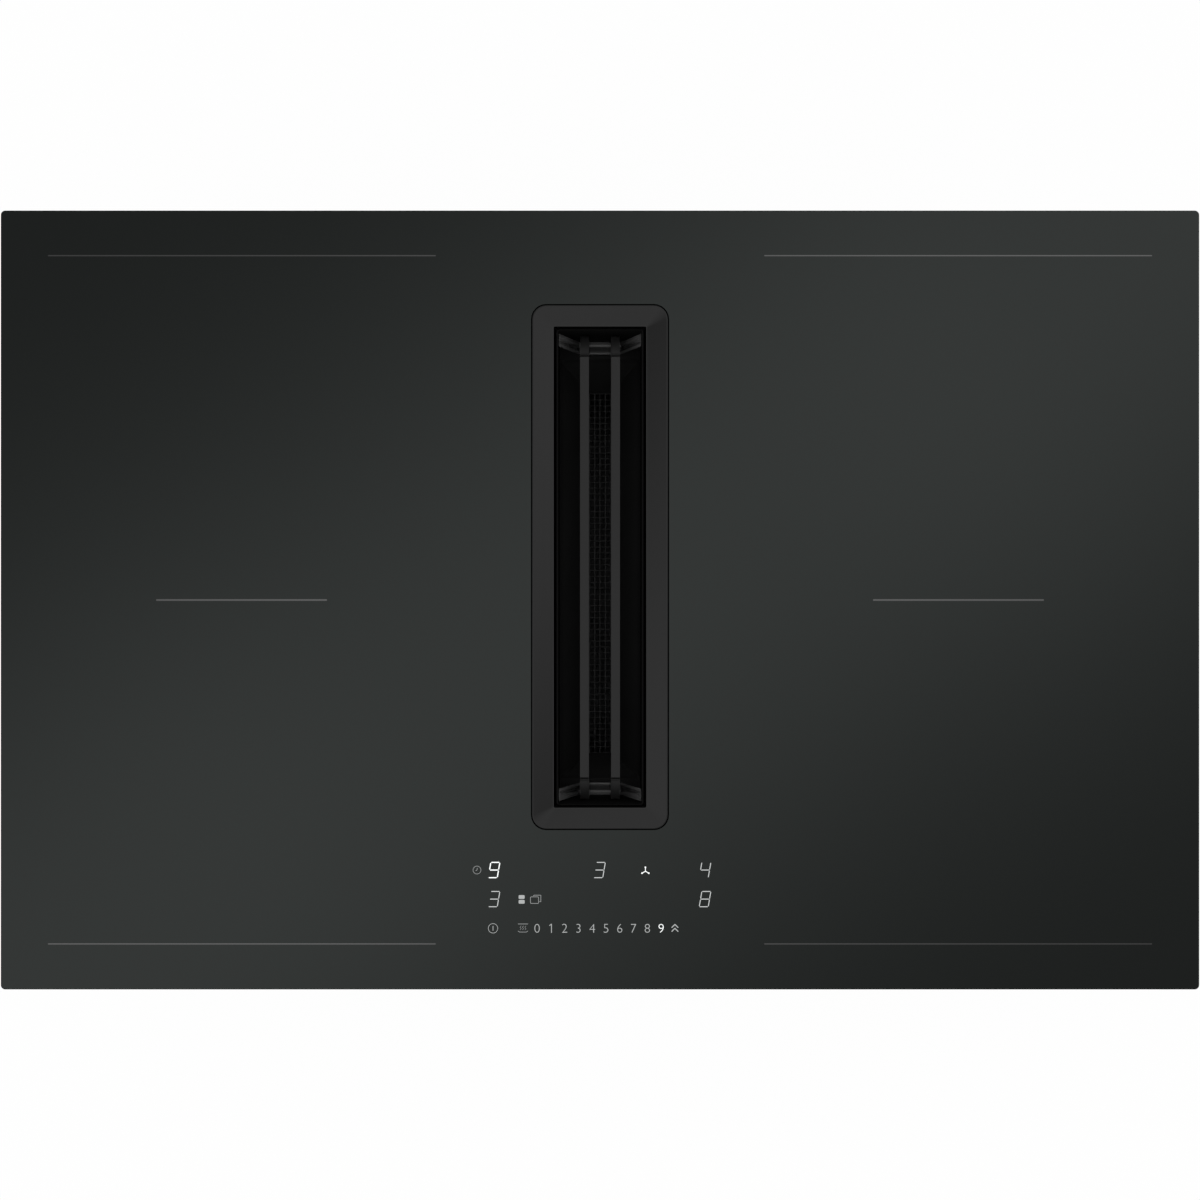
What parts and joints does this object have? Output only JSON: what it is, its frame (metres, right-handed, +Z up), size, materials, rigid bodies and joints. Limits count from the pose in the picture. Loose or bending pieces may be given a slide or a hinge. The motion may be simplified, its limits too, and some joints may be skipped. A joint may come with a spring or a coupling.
{
  "type": "downdraft induction cooktop",
  "caption": "Built-in induction hob with a central downdraft intake: lift-out grille, filter cassette and drip tray, and a blower housing with a flat-duct outlet at the back.",
  "frame": {"origin": "under the middle of the glass, at the height of the blower housing's flat bottom", "axes": "+X to the right as seen by the cook, +Y towards the back, +Z up out of the glass"},
  "size_m": [0.8, 0.52, 0.2],
  "materials": {
    "glass": "polished near-black glass ceramic, opaque",
    "seal": "matt foam or silicone seal",
    "ring": "satin black",
    "grille": "fine satin black coating",
    "cassette": "smooth dark satin",
    "wire": "dull steel wire",
    "black_plastic": "fine-grained moulding",
    "casing_steel": "zinc-coated sheet with a faint spangle",
    "spring_steel": "bright spring steel",
    "screw_steel": "zinc-plated",
    "motor_case": "cast, satin",
    "aluminium": "mill finish",
    "coil_winding": "varnished copper-coloured stranded winding on an aluminium carrier",
    "mica": "matt insulating sheet",
    "circuit_board": "satin solder mask",
    "white_plastic": "matt",
    "zone_print": "grey ceramic ink fired on the glass",
    "symbol_light": "white light that shows through the glass"
  },
  "bodies": {
    "root": {"glass_top": "glass", "rim_seal": "seal", "intake_ring": "ring", "ring_seal": "seal", "intake_shaft": "black_plastic", "casing_tray": "casing_steel", "control_carrier": "white_plastic", "control_board": "circuit_board", "light_guide": "black_plastic", "lower_housing": "black_plastic", "scroll_housing": "black_plastic", "inlet_plate": "black_plastic", "motor_body": "motor_case", "outlet_spigot": "black_plastic", "damper_pin": "casing_steel", "terminal_box": "black_plastic", "terminal_block": "white_plastic", "terminal_cover": "black_plastic", "cable_gland": "black_plastic", "coil_plate_left": "aluminium", "mica_sheet_left": "mica", "power_board_left": "circuit_board", "heatsink_left": "aluminium", "cooling_fan_frame_left": "black_plastic", "coil_front_left": "coil_winding", "clamp_front_left": "spring_steel", "clamp_screw_front_left": "screw_steel", "coil_rear_left": "coil_winding", "clamp_rear_left": "spring_steel", "clamp_screw_rear_left": "screw_steel", "coil_plate_right": "aluminium", "mica_sheet_right": "mica", "power_board_right": "circuit_board", "heatsink_right": "aluminium", "cooling_fan_frame_right": "black_plastic", "coil_front_right": "coil_winding", "clamp_front_right": "spring_steel", "clamp_screw_front_right": "screw_steel", "coil_rear_right": "coil_winding", "clamp_rear_right": "spring_steel", "clamp_screw_rear_right": "screw_steel", "housing_screw_1": "screw_steel", "housing_screw_2": "screw_steel", "housing_screw_3": "screw_steel", "housing_screw_4": "screw_steel"},
    "drip_tray": {"drip_tray": "black_plastic"},
    "cassette": {"cassette_shell": "cassette", "filter_mesh": "wire"},
    "grille": {"grille_bar_left": "grille", "grille_bar_right": "grille", "grille_saddle_front": "grille", "grille_saddle_rear": "grille"},
    "blower": {"impeller": "black_plastic", "motor_shaft": "casing_steel"},
    "cooling_rotor_left": {"cooling_fan_rotor_left": "black_plastic"},
    "cooling_rotor_right": {"cooling_fan_rotor_right": "black_plastic"},
    "damper_left": {"damper_flap_left": "black_plastic"},
    "damper_right": {"damper_flap_right": "black_plastic"}
  },
  "joints": [
    {"name": "drip_tray_lift", "type": "slide", "parent": "root", "child": "drip_tray", "axis": [0, 0, 1], "range_m": [0, 0.2]},
    {"name": "cassette_lift", "type": "slide", "parent": "drip_tray", "child": "cassette", "axis": [0, 0, 1], "range_m": [0, 0.12]},
    {"name": "grille_lift", "type": "slide", "parent": "cassette", "child": "grille", "axis": [0, 0, 1], "range_m": [0, 0.06]},
    {"name": "impeller_spin", "type": "hinge", "parent": "root", "child": "blower", "pos_m": [0.185, 0.005, 0.1], "axis": [0, 0, 1], "continuous": true},
    {"name": "cooling_fan_left_spin", "type": "hinge", "parent": "root", "child": "cooling_rotor_left", "pos_m": [-0.239, -0.195, 0.156], "axis": [0, 0, 1], "continuous": true},
    {"name": "cooling_fan_right_spin", "type": "hinge", "parent": "root", "child": "cooling_rotor_right", "pos_m": [0.239, -0.195, 0.156], "axis": [0, 0, 1], "continuous": true},
    {"name": "damper_left_swing", "type": "hinge", "parent": "root", "child": "damper_left", "pos_m": [0.162, 0.1715, 0.1329], "axis": [1, 0, 0], "range_deg": [0, 75]},
    {"name": "damper_right_swing", "type": "hinge", "parent": "root", "child": "damper_right", "pos_m": [0.27, 0.1715, 0.1329], "axis": [1, 0, 0], "range_deg": [0, 75]}
  ]
}
